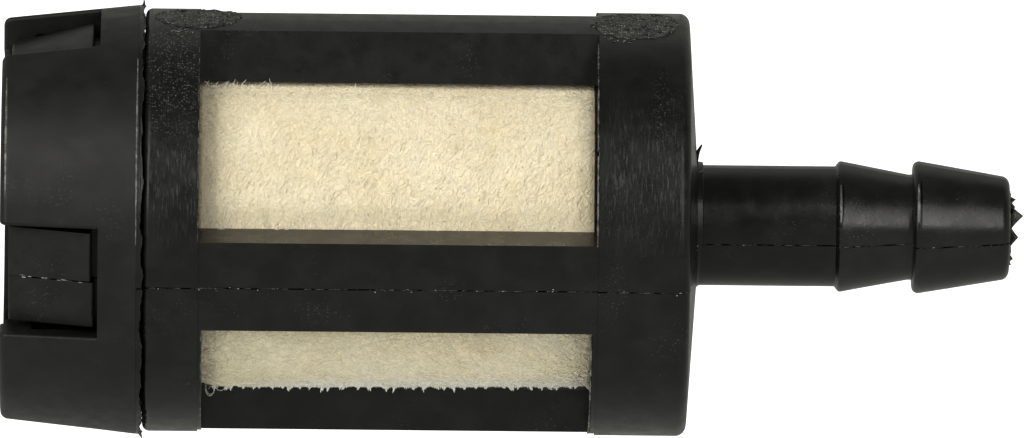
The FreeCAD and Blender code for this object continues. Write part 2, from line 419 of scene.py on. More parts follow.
def thin_flash(name, darker, paler, shine=0.6):
    """The same nylon where it is only a thin skin or burr: paler, and shinier on its fresh edges. Its pale
    and near-black variants also make the painted highlight lines and the painted shadow lines.
    """
    surface = Surface(name)
    tone = surface.span(surface.noise(3500.0, 3.0), 0.4, 0.65)
    surface.set(
        Base_Color=surface.mix(tone, (darker, darker, 0.9 * darker, 1), (paler, paler, 0.9 * paler, 1)),
        Roughness=surface.span(surface.noise(5000.0, 2.0), 0.3, 0.7, 0.22, 0.4),
        Normal=surface.bump(surface.noise(9000.0, 3.0), 0.3, 0.015),
        Specular_IOR_Level=shine,
    )
    return surface.material


def cream_felt(name, light, grain):
    """Cream wool felt, slightly uneven in colour, with painted shade where it meets the rings and a painted
    shadow line before the ring at the neck end.
    """
    surface = Surface(name)
    shade = tuple(part * scale for part, scale in zip(light, (0.95, 0.93, 0.88, 1)))
    colour = surface.mix(surface.span(surface.noise(420.0, 3.0), 0.3, 0.72), light, shade)
    _, x, _ = surface.wrapped()
    # painted shade: the felt is darkened brown next to each end of the window, where the rings shade it
    near_cap = surface.along(x, WINDOW_START, WINDOW_START + 1.1, 0.35, 0.0)
    closest = surface.along(x, WINDOW_START + 0.02, WINDOW_START + 0.22, 0.8, 0.0)
    near_neck = surface.along(x, WINDOW_END - 0.45, WINDOW_END - 0.2, 0.0, 0.5)
    ring_shade = surface.math("MAXIMUM", surface.math("MAXIMUM", near_cap, closest), near_neck)
    after_cap = surface.along(x, WINDOW_START - 0.5, WINDOW_START - 0.1)
    before_neck = surface.along(x, WINDOW_END + 0.1, WINDOW_END + 0.3, 1.0, 0.0)
    in_window = surface.times(after_cap, before_neck)
    colour = surface.mix(surface.times(ring_shade, in_window), colour, (0.24, 0.19, 0.10, 1))
    # painted shadow: a nearly black band just before the ring at the neck end, where the ring's shadow
    # falls on the felt
    gap_shadow = surface.along(x, WINDOW_END - 0.19, WINDOW_END - 0.14)
    colour = surface.mix(surface.times(gap_shadow, in_window), colour, (0.004, 0.003, 0.002, 1))
    tangle = surface.noise(16000.0, 4.0, 0.65)
    colour = surface.mix(surface.span(tangle, 0.3, 0.55, grain, 0.0), colour, (0.5, 0.4, 0.22, 1))
    surface.set(
        Base_Color=colour,
        Roughness=0.92,
        Normal=surface.bump(tangle, grain, 0.03),
        Specular_IOR_Level=0.2,
        Sheen_Weight=0.1,
        Sheen_Roughness=0.5,
    )
    return surface.material


def natural_nylon(name, roughness, colour):
    """Unpigmented nylon: off-white with a faint mottle."""
    surface = Surface(name)
    mottle = surface.span(surface.noise(900.0, 3.0), 0.3, 0.7)
    darker = tuple(0.86 * part for part in colour[:3]) + (1,)
    surface.set(
        Base_Color=surface.mix(mottle, darker, colour),
        Roughness=surface.span(surface.noise(2600.0, 3.0), 0.3, 0.7, roughness, roughness + 0.15),
        Normal=surface.bump(surface.noise(5000.0, 3.0), 0.2, 0.02),
    )
    return surface.material


def pale_floor(name):
    """A plain white sweep, lit evenly from below as on a light table."""
    surface = Surface(name)
    surface.set(Base_Color=(0.9, 0.9, 0.9, 1), Roughness=0.9)
    surface.set(Emission_Color=(1, 1, 1, 1), Emission_Strength=0.9)
    return surface.material


# Mould flash: thin fins that stand on the moulding's surface

def fin(form, path, outward, across, heights, half_width):
    """Ragged fins along a path, one for each run of it where the height is above zero."""
    start = None
    for index in range(len(path) + 1):
        raised = index < len(path) and heights[index] > 0
        if raised and start is None:
            start = index
        if not raised and start is not None:
            run = slice(start, index)
            if index - start > 2:
                add_fin(form, path[run], outward[run], across[run], heights[run], half_width)
            start = None


def add_fin(form, path, outward, across, heights, half_width):
    """One fin of triangular section, closed at both ends."""
    lift = np.sin(np.linspace(0, math.pi, len(path))) ** 0.4 * heights
    left = path - across * half_width - outward * FIN_ROOT
    right = path + across * half_width - outward * FIN_ROOT
    ridge = path + outward * lift[:, None]
    tube(form, np.stack([left, ridge, right], axis=1))


def smoothed_steps(corners, pitch):
    """Points every pitch along an outline of (station, radius) corners, with its outward normals."""
    corners = np.array(corners, float)
    runs = np.linalg.norm(np.diff(corners, axis=0), axis=1)
    reach = np.concatenate([[0], np.cumsum(runs)])
    steps = np.arange(0, reach[-1], pitch)
    stations = np.interp(steps, reach, corners[:, 0])
    radii = np.interp(steps, reach, corners[:, 1])
    slope = np.stack([-np.gradient(radii), np.gradient(stations)], axis=1)
    return steps, stations, radii, slope / np.linalg.norm(slope, axis=1)[:, None]


def parting_line(name, corners, bearing, body, material, seed, height=0.045):
    """The broken line of flash where the mould halves meet, along an outline at one bearing."""
    form = Form()
    steps, stations, radii, normals = smoothed_steps(corners, 0.04)
    out = around(ORIGIN_STATION, 1.0, bearing)
    outward = normals[:, :1] * np.array([1.0, 0, 0]) + normals[:, 1:] * out
    across = np.tile([0, 0, 1.0], (len(steps), 1))
    heights = height * (0.35 + ragged(steps, 2.3, seed) + 0.5 * ragged(steps, 0.45, seed + 1))
    path = around(stations, radii, bearing)
    fin(form, path, outward, across, np.clip(heights, 0, 2 * height), 0.03)
    return form.piece(name, material, body)


def seam_nicks(name, corners, count, lengths, bearing, body, material, seed):
    """Bright nicks here and there along a parting line."""
    random = np.random.default_rng(seed)
    corners = np.array(corners)
    middle = random.uniform(corners[0, 0] + 0.2, corners[-1, 0] - 0.2, count)
    reach = random.uniform(*lengths, count)
    drift = random.normal(0, 0.25, count)
    knots = []
    for share, lift in NICK_SHAPE:
        station = middle + reach * (share - 0.5)
        radius = np.interp(station, corners[:, 0], corners[:, 1])
        knots.append(around(station, radius + lift, bearing + drift))
    half_widths = random.uniform(0.012, 0.03, count)
    return threads(name, np.stack(knots, axis=1), half_widths, material, body)


def window_burrs(material):
    """Fine burrs round both ends of each window, on the rings' edges."""
    form = Form()
    half_rib = math.degrees(math.asin(RIB_HALF_WIDTH / RING_RADIUS))
    # how far each end's burr stands before the edge, its height and half its width
    kinds = ((0.03, 0.05, 0.026), (0.04, 0.06, 0.042))
    for quarter in range(4):
        first = FRONT + 90 * quarter + half_rib
        bearings = np.arange(first, first + 90 - 2 * half_rib, 0.25)
        upper = quarter < 2
        ends = (WINDOW_START, WINDOW_END) if upper else (LOWER_WINDOW_START, LOWER_WINDOW_END)
        top = RING_RADIUS - 0.015 if upper else RIB_RADIUS
        outward = around(ORIGIN_STATION, 1.0, bearings)
        across = np.tile([1.0, 0, 0], (len(bearings), 1))
        lengths = np.radians(bearings) * RING_RADIUS
        for end, (before, height, half_width) in enumerate(kinds):
            heights = height * (0.8 + ragged(lengths, 3.1, 40 + 2 * quarter + end))
            path = around(ends[end] - before, top, bearings)
            fin(form, path, outward, across, np.clip(heights, 0, 0.09), half_width)
    return form.piece("window_burrs", material, "cage")


def rim_flash(skin, edge):
    """The wavy skin of flash round the cap's rim, with two spikes and a thread along its outer edge: a real
    bead of flash, made paler as a painted highlight.
    """
    columns = 720
    bearings = np.arange(columns) * 360 / columns
    lengths = np.radians(bearings) * CAP_RIM_RADIUS
    turns = round(2 * math.pi * CAP_RIM_RADIUS)
    reach = 0.12 + 0.08 * ragged(lengths, turns / 14, 3, 4) + 0.03 * ragged(lengths, turns / 40, 4)
    reach = np.clip(reach, 0.02, 0.26)
    curl = 0.03 * ragged(lengths, turns / 9, 5)
    for spike in (TOP + 17, BOTTOM + 17):
        off = (bearings - spike + 180) % 360 - 180
        curl = curl + 0.24 * np.exp(-(off / 1.1) ** 2)
    root = CAP_LENGTH - 0.07
    top = CAP_RIM_RADIUS - 0.015
    rings = [
        around(root, top - 0.06, bearings),
        around(root + 0.02, top + 0.02, bearings),
        around(CAP_LENGTH + 0.03, top - 0.02 + 0.2 * curl, bearings),
        around(CAP_LENGTH + reach * 0.8, top - 0.03 + 0.7 * curl, bearings),
        around(CAP_LENGTH + reach * 0.92, top + curl, bearings),
        around(CAP_LENGTH + reach, top - 0.01 + curl, bearings),
        around(CAP_LENGTH + reach * 0.8, top - 0.07 + 0.6 * curl, bearings),
    ]
    shell("cap_rim_flash", rings, skin, "cap")
    # partly painted highlight: the edge thread's paler material paints the bright line along the skin's
    # edge
    line = Form()
    thread_path(line, around(CAP_LENGTH + reach, top - 0.012 + curl, bearings), 0.013)
    return line.piece("cap_rim_flash_edge", edge, "cap")


def thread_path(form, path, radius):
    """A closed loop of thin thread along a path that goes round the axis."""
    ahead = np.roll(path, -1, axis=0) - np.roll(path, 1, axis=0)
    ahead /= np.linalg.norm(ahead, axis=1)[:, None]
    first = np.cross(ahead, [1.0, 0, 0])
    first /= np.linalg.norm(first, axis=1)[:, None]
    second = np.cross(ahead, first)
    sides = 4
    turns = np.arange(sides) * 2 * math.pi / sides
    offsets = first[:, None] * np.cos(turns)[None, :, None] + second[:, None] * np.sin(turns)[None, :, None]
    tube(form, path[:, None] + radius * offsets, closed=True)


def gate_scar(name, station, bearing, half_length, half_width, material, seed):
    """A torn oval where the sprue broke off, lumpy inside, with a low ragged rim."""
    spokes, rings = 150, 34
    waves, wave_height = 26, 0.0045
    rim_height, depth = 0.03, 0.3
    steps = np.arange(float(spokes))
    turn = steps * 2 * math.pi / spokes
    outline = 1 + 0.07 * ragged(steps, spokes / 3, seed, 9)
    share = np.linspace(0, 1, rings)[1:]
    along = np.outer(share, np.cos(turn) * outline * half_length)
    arc = np.outer(share, np.sin(turn) * outline * half_width)
    rim = rim_height * np.exp(-((share - 0.95) / 0.04) ** 2)[:, None]
    rim = rim * (1 + 1.3 * ragged(steps, spokes / 8, seed + 1))[None, :]
    lumps = np.zeros_like(along)
    random = np.random.default_rng(seed)
    for _ in range(waves):
        pace = random.uniform(6, 26)
        heading = random.uniform(0, math.pi)
        wave = np.sin(pace * (along * math.cos(heading) + arc * math.sin(heading)) + random.uniform(0, 6.3))
        lumps += wave_height * wave * (12 / pace) ** 0.5
    height = 0.03 + rim + lumps * np.minimum(1, 6 * (1 - share))[:, None]
    height[-1] = -0.05
    bearings = bearing + np.degrees(arc / RING_RADIUS)
    surface = around(station + along, RING_RADIUS - 0.005 + height, bearings)
    sunk = around(station + along[-1], RING_RADIUS - depth, bearings[-1])
    middle = [around(station, RING_RADIUS + level, bearing) for level in (0.025, -depth)]
    points = np.concatenate([surface.reshape(-1, 3), sunk, middle])
    faces = band_faces(rings, spokes)
    centre, below = rings * spokes, rings * spokes + 1
    foot = (rings - 1) * spokes
    for spoke in range(spokes):
        beside = (spoke + 1) % spokes
        faces.append((centre, beside, spoke))
        faces.append((foot + spoke, foot + beside, below))
    form = Form()
    form.add(points, faces)
    return form.piece(name, material, "cage")


def scar_scratches(material):
    """The bright nicks beside the two scars, where the sprues were twisted off."""
    random = np.random.default_rng(57)
    count = 22
    left = np.stack([random.uniform(6.1, 7.2, count), random.normal(80.5, 1.1, count)], axis=1)
    right = np.stack([random.uniform(22.6, 24.0, count), random.normal(78.6, 0.7, count)], axis=1)
    starts = np.concatenate([left, right])
    heading = random.normal(0.5, 0.5, len(starts))
    reach = random.uniform(0.08, 0.3, len(starts))
    knots = []
    for share, lift in NICK_SHAPE:
        station = starts[:, 0] + reach * share * np.cos(heading)
        bearing = starts[:, 1] + np.degrees(reach * share * np.sin(heading) / RING_RADIUS)
        knots.append(around(station, RING_RADIUS + lift, bearing))
    half_widths = random.uniform(0.015, 0.035, len(starts))
    return threads("scar_scratches", np.stack(knots, axis=1), half_widths, material, "cage")


def hair(form, points, radius, sides=6):
    """A round hair through a few points, drawn to a tip at both ends."""
    points = np.asarray(points, float)
    steps = np.linspace(0, len(points) - 1, 6 * len(points))
    smooth = catmull(points, steps)
    along = np.gradient(smooth, axis=0)
    along /= np.linalg.norm(along, axis=1)[:, None]
    across = np.cross(along, [0.31, 0.53, 0.79])
    across /= np.linalg.norm(across, axis=1)[:, None]
    third = np.cross(along, across)
    taper = radius * np.sin(np.linspace(0.12, math.pi - 0.12, len(steps))) ** 0.5
    rows = []
    for side in range(sides):
        turn = 2 * math.pi * side / sides
        rows.append(smooth + (across * math.cos(turn) + third * math.sin(turn)) * taper[:, None])
    tube(form, np.stack(rows, axis=1))


def catmull(points, steps):
    """A smooth curve through points, read at fractional positions."""
    padded = np.concatenate([[2 * points[0] - points[1]], points, [2 * points[-1] - points[-2]]])
    cell = np.clip(steps.astype(int), 0, len(points) - 2)
    t = (steps - cell)[:, None]
    a, b, c, d = (padded[cell + offset] for offset in range(4))
    curve = 2 * b + (c - a) * t + (2 * a - 5 * b + 4 * c - d) * t ** 2
    return 0.5 * (curve + (3 * b - a - 3 * c + d) * t ** 3)


def shoulder_curl(material):
    """The curl of flash that stands on the shoulder beside the neck's root."""
    form = Form()
    stand = [(26.28, 2.6), (26.28, 2.9), (26.31, 3.2), (26.36, 3.5), (26.5, 3.85)]
    hair(form, [around(station, radius, 71.0) for station, radius in stand], 0.085)
    foot = [(26.24, 2.7), (26.26, 2.95), (26.3, 3.25)]
    hair(form, [around(station, radius, 69.0) for station, radius in foot], 0.1)
    return form.piece("shoulder_flash_curl", material, "cage")


def painted_edge_highlights(material):
    """Painted highlights: pale lines along the cap's rim and end, the barbs' crests, the nose and the
    collar's foot.
    """
    arcs = (
        # name, body, half width, station, radius, first bearing, step between points, points
        ("rim", "cap", 0.042, CAP_LENGTH - 0.08, CAP_RIM_RADIUS, 12.0, 5.5, 11),
        ("cap_end", "cap", 0.055, 0.2, 7.585, 22.0, 5.5, 9),
        ("first_barb", "cage", 0.055, FIRST_BARB - 0.01, FIRST_BARB_RADIUS - 0.015, 22.0, 4.0, 10),
        ("second_barb", "cage", 0.062, SECOND_BARB - 0.05, SECOND_BARB_RADIUS - 0.04, 18.0, 4.6, 11),
        ("nose", "cage", 0.03, NOSE - 0.03, 1.75, 2.0, 5.5, 11),
    )
    # painted highlight: each arc is a pale thread laid along an edge where the light catches it
    for name, body, half_width, station, radius, first, pace, count in arcs:
        points = around(station, radius, first + pace * np.arange(count))
        painted_highlight_line(name, body, half_width, points, material)
    foot = np.array([(26.57, 2.47, 84), (26.58, 2.46, 80), (26.53, 2.45, 76), (26.44, 2.45, 73)])
    painted_highlight_line("collar", "cage", 0.04, around(*foot.T), material)


def painted_highlight_line(name, body, half_width, points, material):
    form = Form()
    hair(form, points, half_width)
    form.piece(f"{name}_painted_highlight_line", material, body)


def crest_shadows(material):
    """Painted shadows: near-black lines just past both barbs' crests, where the crests shade the cones."""
    form = Form()
    shadow_lines = (
        # station, radius, first and last bearing
        (FIRST_BARB + 0.08, FIRST_BARB_RADIUS - 0.005, 22.0, 60.0),
        (SECOND_BARB + 0.05, SECOND_BARB_RADIUS - 0.005, 18.0, 64.0),
    )
    for station, radius, first, last in shadow_lines:
        # painted shadow: a near-black thread along the shade just past each crest
        hair(form, around(station, radius, np.linspace(first, last, 8)), 0.025)
    return form.piece("barb_painted_shadows", material, "cage")


def nose_burr(material):
    """The ragged skin of flash that stands round the outlet's mouth."""
    columns = 360
    bearings = np.arange(float(columns))
    spikes = (
        # bearing, half width in degrees, height
        (37.0, 24.0, 0.5), (53.0, 18.0, 0.2), (5.0, 20.0, 0.32), (69.0, 8.0, 0.2), (-37.0, 12.0, 0.15),
        (-60.0, 9.0, 0.1), (150.0, 17.0, 0.3), (205.0, 12.0, 0.2), (250.0, 16.0, 0.17),
    )
    height = 0.045 + 0.015 * ragged(bearings, 360 / 11, 77)
    for bearing, width, reach in spikes:
        off = np.abs((bearings - bearing + 180) % 360 - 180)
        height = np.maximum(height, reach * np.clip(1 - off / width, 0, 1) ** 1.4)
    inner, outer = OUTLET_BORE + 0.09, OUTLET_BORE + 0.18
    rings = [
        around(NOSE - 0.05, inner, bearings),
        around(NOSE - 0.05, outer, bearings),
        around(NOSE + 0.55 * height, outer - 0.01 + 0.1 * height, bearings),
        around(NOSE + height, inner + 0.05 + 0.2 * height, bearings),
        around(NOSE + 0.55 * height, inner + 0.02, bearings),
    ]
    return shell("outlet_mouth_burr", rings, material, "cage")


# The felt

def felt_radius(stations, bearings):
    """The felt's outside. It swells a little into the windows, and more so towards the cap."""
    past_rib = 28.5 - np.abs((bearings % 90) - 45)
    open_share = np.clip(past_rib / 9, 0, 1)
    open_share = open_share ** 2 * (3 - 2 * open_share)
    inside = np.clip((stations - WINDOW_START + 0.5) / 1.2, 0, 1)
    inside = inside * np.clip((WINDOW_END + 0.1 - stations) / 0.9, 0, 1)
    towards_cap = np.clip((WINDOW_END - stations) / (WINDOW_END - WINDOW_START), 0, 1)
    swell = 0.1 * towards_cap + (0.13 + 0.06 * towards_cap) * open_share
    return FELT_RADIUS - 0.18 + swell * inside


def felt_body(material):
    """The felt sleeve, with a lumpy outside and rounded ends."""
    columns, rows = 300, 150
    bearings = np.arange(columns) * 360 / columns
    random = np.random.default_rng(11)
    stations = np.linspace(FELT_START + 0.1, FELT_END - 0.1, rows)
    outside = felt_radius(stations[:, None], bearings[None, :]) + random.normal(0, 0.002, (rows, columns))
    rings = [around(FELT_START, FELT_RADIUS - 0.35, bearings)]
    rings.extend(around(station, outside[row], bearings) for row, station in enumerate(stations))
    rings.append(around(FELT_END, FELT_RADIUS - 0.35, bearings))
    rings.append(around(FELT_END, FELT_BORE + FELT_CORNER, bearings))
    for station in np.linspace(FELT_END - FELT_CORNER, FELT_START + FELT_CORNER, 40):
        rings.append(around(station, FELT_BORE + random.normal(0, 0.01, columns), bearings))
    rings.append(around(FELT_START, FELT_BORE + FELT_CORNER, bearings))
    made = shell("felt_sleeve_body", rings, material, "felt")
    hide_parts("felt_sleeve")
    return made


def fibre_mat(name, count, first_bearing, last_bearing, material, seed):
    """Short curled wool fibres that lie tangled on the felt."""
    random = np.random.default_rng(seed)
    knots = np.linspace(-0.5, 0.5, 5)
    station = random.uniform(FELT_START + 0.1, FELT_END - 0.1, count)
    bearing = random.uniform(first_bearing, last_bearing, count)
    heading = random.normal(math.pi / 2, 0.8, count)
    reach = 0.5 * random.lognormal(0, 0.4, count)
    bend = random.normal(0, 0.6, count)
    twist = random.normal(0, 1.3, count)
    rise = np.abs(random.normal(0, 0.008, count)) + 0.012
    loose = np.where(random.random(count) < 0.05, random.uniform(0.02, 0.08, count), 0.0)
    paths = []
    for knot in knots:
        sway = bend * knot ** 2 + twist * knot ** 3
        along = reach * (knot * np.cos(heading) - sway * np.sin(heading))
        sideways = reach * (knot * np.sin(heading) + sway * np.cos(heading))
        here = np.clip(station + along, FELT_START + 0.02, FELT_END - 0.02)
        turned = bearing + np.degrees(sideways / FELT_RADIUS)
        level = rise * (1 - 4 * knot ** 2) * 1.4 - 0.012 + loose * (knot + 0.5) ** 2
        paths.append(around(here, felt_radius(here, turned) + level, turned))
    width = 0.009 * random.uniform(0.7, 1.3, count)
    return threads(name, np.stack(paths, axis=1), width, material, "felt")


def end_fibres(material):
    """The matted fibres on the felt's two cut ends."""
    random = np.random.default_rng(71)
    count = 6000
    knots = np.linspace(-0.5, 0.5, 5)
    end = random.integers(0, 2, count)
    radius = np.sqrt(random.uniform((FELT_BORE + FELT_CORNER) ** 2, (FELT_RADIUS - 0.3) ** 2, count))
    bearing = random.uniform(0, 360, count)
    heading = random.uniform(0, 2 * math.pi, count)
    reach = 0.4 * random.lognormal(0, 0.4, count)
    bend = random.normal(0, 1.4, count)
    rise = np.abs(random.normal(0, 0.03, count)) + 0.01
    paths = []
    for knot in knots:
        sway = bend * knot ** 2
        out = radius + reach * (knot * np.cos(heading) - sway * np.sin(heading))
        out = np.clip(out, FELT_BORE + 0.05, FELT_RADIUS - 0.2)
        sideways = reach * (knot * np.sin(heading) + sway * np.cos(heading))
        turned = bearing + np.degrees(sideways / radius)
        level = rise * (1 - 4 * knot ** 2) * 1.4 - 0.008
        paths.append(around(np.where(end == 1, FELT_END + level, FELT_START - level), out, turned))
    return threads("felt_end_fibres", np.stack(paths, axis=1), 0.008, material, "felt")


def loose_fibre(start, travel, curl, random):
    """Six points of a fibre that sets off from a point and wanders a little on its way."""
    shares = np.linspace(0, 1, 6)[:, None]
    sway = np.array([random.normal(0, 1), random.normal(0, 0.15), random.normal(0, 0.3)])
    wave = np.sin(shares * random.uniform(2, 5) + random.uniform(0, 6))
    return np.array(start) + np.array(travel) * shares + curl * sway * wave * shares


def window_edge_hairs(material):
    """Hairs that stray out of the upper windows, over the sides of the ribs."""
    random = np.random.default_rng(81)
    rib = math.degrees(math.asin(RIB_HALF_WIDTH / FELT_RADIUS))
    groups = [
        # count, first and last station, length, over the top rib
        (70, WINDOW_START + 0.15, 10.4, 0.17, True),
        (60, 10.4, WINDOW_END - 0.3, 0.09, True),
        (14, WINDOW_START + 0.2, 12.0, 0.35, False),
        (14, 12.0, WINDOW_END - 0.3, 0.25, False),
    ]
    paths = []
    for count, first, last, length, over_top in groups:
        for _ in range(count):
            station = random.uniform(first, last)
            reach = length * random.lognormal(0, 0.45)
            lean = reach * random.normal(0, 0.7)
            past = rib + random.uniform(0.15, 0.9)
            bearing = TOP - past if over_top else past
            start = around(station, felt_radius(np.float64(station), np.float64(bearing)) - 0.02, bearing)
            travel = (lean, 0.0, reach + 0.03) if over_top else (lean, -reach - 0.03, 0.0)
            paths.append(loose_fibre(start, travel, 0.25 * reach, random))
    paths.extend([path * (1, -1, 1) for path in paths])
    return threads("window_edge_hairs", np.array(paths), 0.010, material, "felt")


def lower_tufts(material):
    """The fluff that hangs in pointed tufts along the lower windows' bottom edges."""
    random = np.random.default_rng(91)
    spacing, fibres_in_a_tuft = 0.36, 64
    stations = np.arange(LOWER_WINDOW_START + 0.5, LOWER_WINDOW_END - 0.15, spacing)
    paths = []
    for station in stations + random.normal(0, 0.1, len(stations)):
        size = random.uniform(0.1, 0.28)
        tip = random.normal(0, 0.1)
        for _ in range(fibres_in_a_tuft):
            off = random.normal(0, 0.16)
            gather = math.exp(-(off / 0.13) ** 2)
            drop = size * gather * random.uniform(0.45, 1.1) + random.uniform(0.04, 0.14)
            place_along, bearing = station + off, random.uniform(287.6, 292.0)
            radius = felt_radius(np.float64(place_along), np.float64(bearing)) - 0.015
            travel = ((tip - 0.7 * off) * gather, 0.0, -drop)
            paths.append(loose_fibre(around(place_along, radius, bearing), travel, 0.02, random))
    paths.extend([path * (1, -1, 1) for path in paths])
    return threads("lower_window_tufts", np.array(paths), 0.016, material, "felt")


def lower_fluff(material):
    """The raised nap above the tufts, whiter than the rest: loose paler fibres, with painted light from
    below in their whiter colour.
    """
    random = np.random.default_rng(93)
    count = 7500
    station = random.uniform(9.6, LOWER_WINDOW_END - 0.2, count)
    bearing = 288.0 + np.abs(random.normal(0, 9.0, count))
    heading = random.uniform(0, 2 * math.pi, count)
    reach = 0.3 * random.lognormal(0, 0.4, count)
    lift = random.random(count)
    knots = []
    for share in np.linspace(0, 1, 6):
        here = station + reach * (share * np.cos(heading) + 0.25 * np.sin(4 * share + heading))
        turned = np.maximum(bearing + np.degrees(reach * share * np.sin(heading) / FELT_RADIUS), 287.5)
        knots.append(around(here, felt_radius(here, turned) + 0.01 + 0.09 * share * lift, turned))
    paths = np.stack(knots, axis=1)
    for side, flip in (("back", 1), ("front", -1)):
        threads(f"lower_fluff_{side}", paths * (1, flip, 1), 0.010, material, "felt")


def curly_loop(material):
    """One long curly hair that hangs in the corner of the lower window at the cap's end."""
    form = Form()
    side = RIB_HALF_WIDTH + 0.2
    edge = math.sqrt((FELT_RADIUS + 0.08) ** 2 - side ** 2)
    curls = (
        # station, drop below the felt's edge
        [(7.84, -0.1), (7.8, 0.1), (7.86, 0.3), (8.0, 0.36), (8.1, 0.26), (8.06, 0.1), (7.96, 0.04),
         (7.9, 0.16)],
        [(8.0, -0.1), (8.12, 0.04), (8.26, 0.18), (8.4, 0.2), (8.5, 0.08), (8.52, -0.08)],
        [(7.78, -0.06), (7.78, 0.2), (7.86, 0.38), (7.98, 0.42), (8.06, 0.32)],
    )
    for curl in curls:
        hair(form, [(at(station), -side, -edge - drop) for station, drop in curl], 0.010, sides=5)
    return form.piece("curly_felt_hair", material, "felt")


# The screen

def screen_weave(material):
    """Plain-woven nylon screen: threads along the axis and threads round it, over and under."""
    pitch, thread, sides = 0.29, 0.045, 4
    middle = SCREEN_RADIUS - 0.1
    count_round = 2 * round(math.pi * middle / pitch)
    count_along = round((SCREEN_END - SCREEN_START - 0.6) / pitch)
    stations = SCREEN_START + 0.3 + np.arange(count_along) * pitch
    bearings = np.arange(count_round) * 360 / count_round
    form = Form()
    fine = np.linspace(stations[0] - 0.2, stations[-1] + 0.2, 2 * count_along)
    for index, bearing in enumerate(bearings):
        over = thread * np.cos(math.pi * (fine - stations[0]) / pitch) * (-1) ** index
        thread_along(form, fine, middle + over, bearing, thread, sides)
    fine = np.arange(2 * count_round) * 180 / count_round
    for index, station in enumerate(stations):
        over = -thread * np.cos(math.pi * fine * count_round / 360) * (-1) ** index
        thread_round(form, station, middle + over, fine, thread, sides)
    for station in (SCREEN_START + 0.12, SCREEN_END - 0.12):
        every = np.arange(96) * 360 / 96
        thread_round(form, station, np.full(96, middle), every, 0.11, 6)
    made = form.piece("screen_weave", material, "cage")
    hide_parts("screen_sock")
    return made


def thread_along(form, stations, radii, bearing, thread, sides):
    """A thread that runs along the axis, with flat ends."""
    turns = np.arange(sides) * 2 * math.pi / sides
    rows = []
    for station, radius in zip(stations, radii):
        spread = np.degrees(thread * np.sin(turns) / radius)
        rows.append(around(station, radius + thread * np.cos(turns), bearing + spread))
    tube(form, rows)


def thread_round(form, station, radii, bearings, thread, sides):
    """A closed thread that runs round the axis."""
    turns = np.arange(sides) * 2 * math.pi / sides
    rows = [
        around(station + thread * np.sin(turns), radius + thread * np.cos(turns), bearing)
        for radius, bearing in zip(radii, bearings)
    ]
    tube(form, rows, closed=True)


# Making it all

def paint(node, material):
    """Gives a CAD node its material."""
    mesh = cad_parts[node].data
    mesh.materials.clear()
    mesh.materials.append(material)


def cage_profile():
    """The outline that the parting line follows, from the cap's side to the nose."""
    return [
        (CAGE_START + 0.25, RING_RADIUS), (WINDOW_START, RING_RADIUS), (WINDOW_START, RIB_RADIUS),
        (WINDOW_END, RIB_RADIUS), (WINDOW_END, RING_RADIUS), (25.65, RING_RADIUS),
        (25.9, RING_RADIUS - 0.12), (26.01, RING_RADIUS - 0.36), (SHOULDER, NECK_RADIUS + 0.1),
        (NECK_START, NECK_RADIUS), (FIRST_BARB - 0.2, NECK_RADIUS), (FIRST_BARB, FIRST_BARB_RADIUS),
        (34.39, 2.005), (34.55, 2.005), (34.6, 2.36), (SECOND_BARB, SECOND_BARB_RADIUS), (37.9, 1.99),
        (NOSE - 0.1, 1.9),
    ]


def make_camera():
    """The camera, a little above the filter and to its left, with a long lens."""
    data = bpy.data.cameras.new("camera")
    data.sensor_width = SENSOR_WIDTH
    data.lens = SENSOR_WIDTH * VIEW_DISTANCE / VIEW_WIDTH
    data.clip_start, data.clip_end = 0.01, 20.0
    camera = bpy.data.objects.new("camera", data)
    bpy.context.scene.collection.objects.link(camera)
    rise, yaw = math.radians(VIEW_ELEVATION), math.radians(VIEW_YAW)
    back = Vector((-math.sin(yaw) * math.cos(rise), -math.cos(yaw) * math.cos(rise), math.sin(rise)))
    up = Vector((0, math.sin(rise), math.cos(rise)))
    target = Vector((at(VIEW_STATION), 0, 0)) + VIEW_RISE * up
    camera.location = (target + back * VIEW_DISTANCE) * MM
    facing = (-back).to_track_quat("-Z", "Y")
    camera.rotation_mode = "QUATERNION"
    camera.rotation_quaternion = Quaternion(back, math.radians(VIEW_ROLL)) @ facing
    bpy.context.scene.camera = camera


def make_softbox(name, azimuth, elevation, width, height, radiance, mirrored):
    """A soft rectangular light that faces the filter. Black nylon shows it only if it is mirrored."""
    data = bpy.data.lights.new(name, "AREA")
    data.shape = "RECTANGLE"
    data.size, data.size_y = width * MM, height * MM
    data.energy = radiance * math.pi * data.size * data.size_y
    data.color = (1.0, 0.985, 0.95)
    lamp = bpy.data.objects.new(name, data)
    lamp.visible_glossy = mirrored
    lamp.visible_camera = False
    bpy.context.scene.collection.objects.link(lamp)
    a, e = math.radians(azimuth), math.radians(elevation)
    out = Vector((math.sin(a) * math.cos(e), -math.cos(a) * math.cos(e), math.sin(e)))
    lamp.location = (Vector((at(VIEW_STATION), 0, 0)) + out * LIGHT_DISTANCE) * MM
    lamp.rotation_mode = "QUATERNION"
    lamp.rotation_quaternion = out.to_track_quat("Z", "Y")


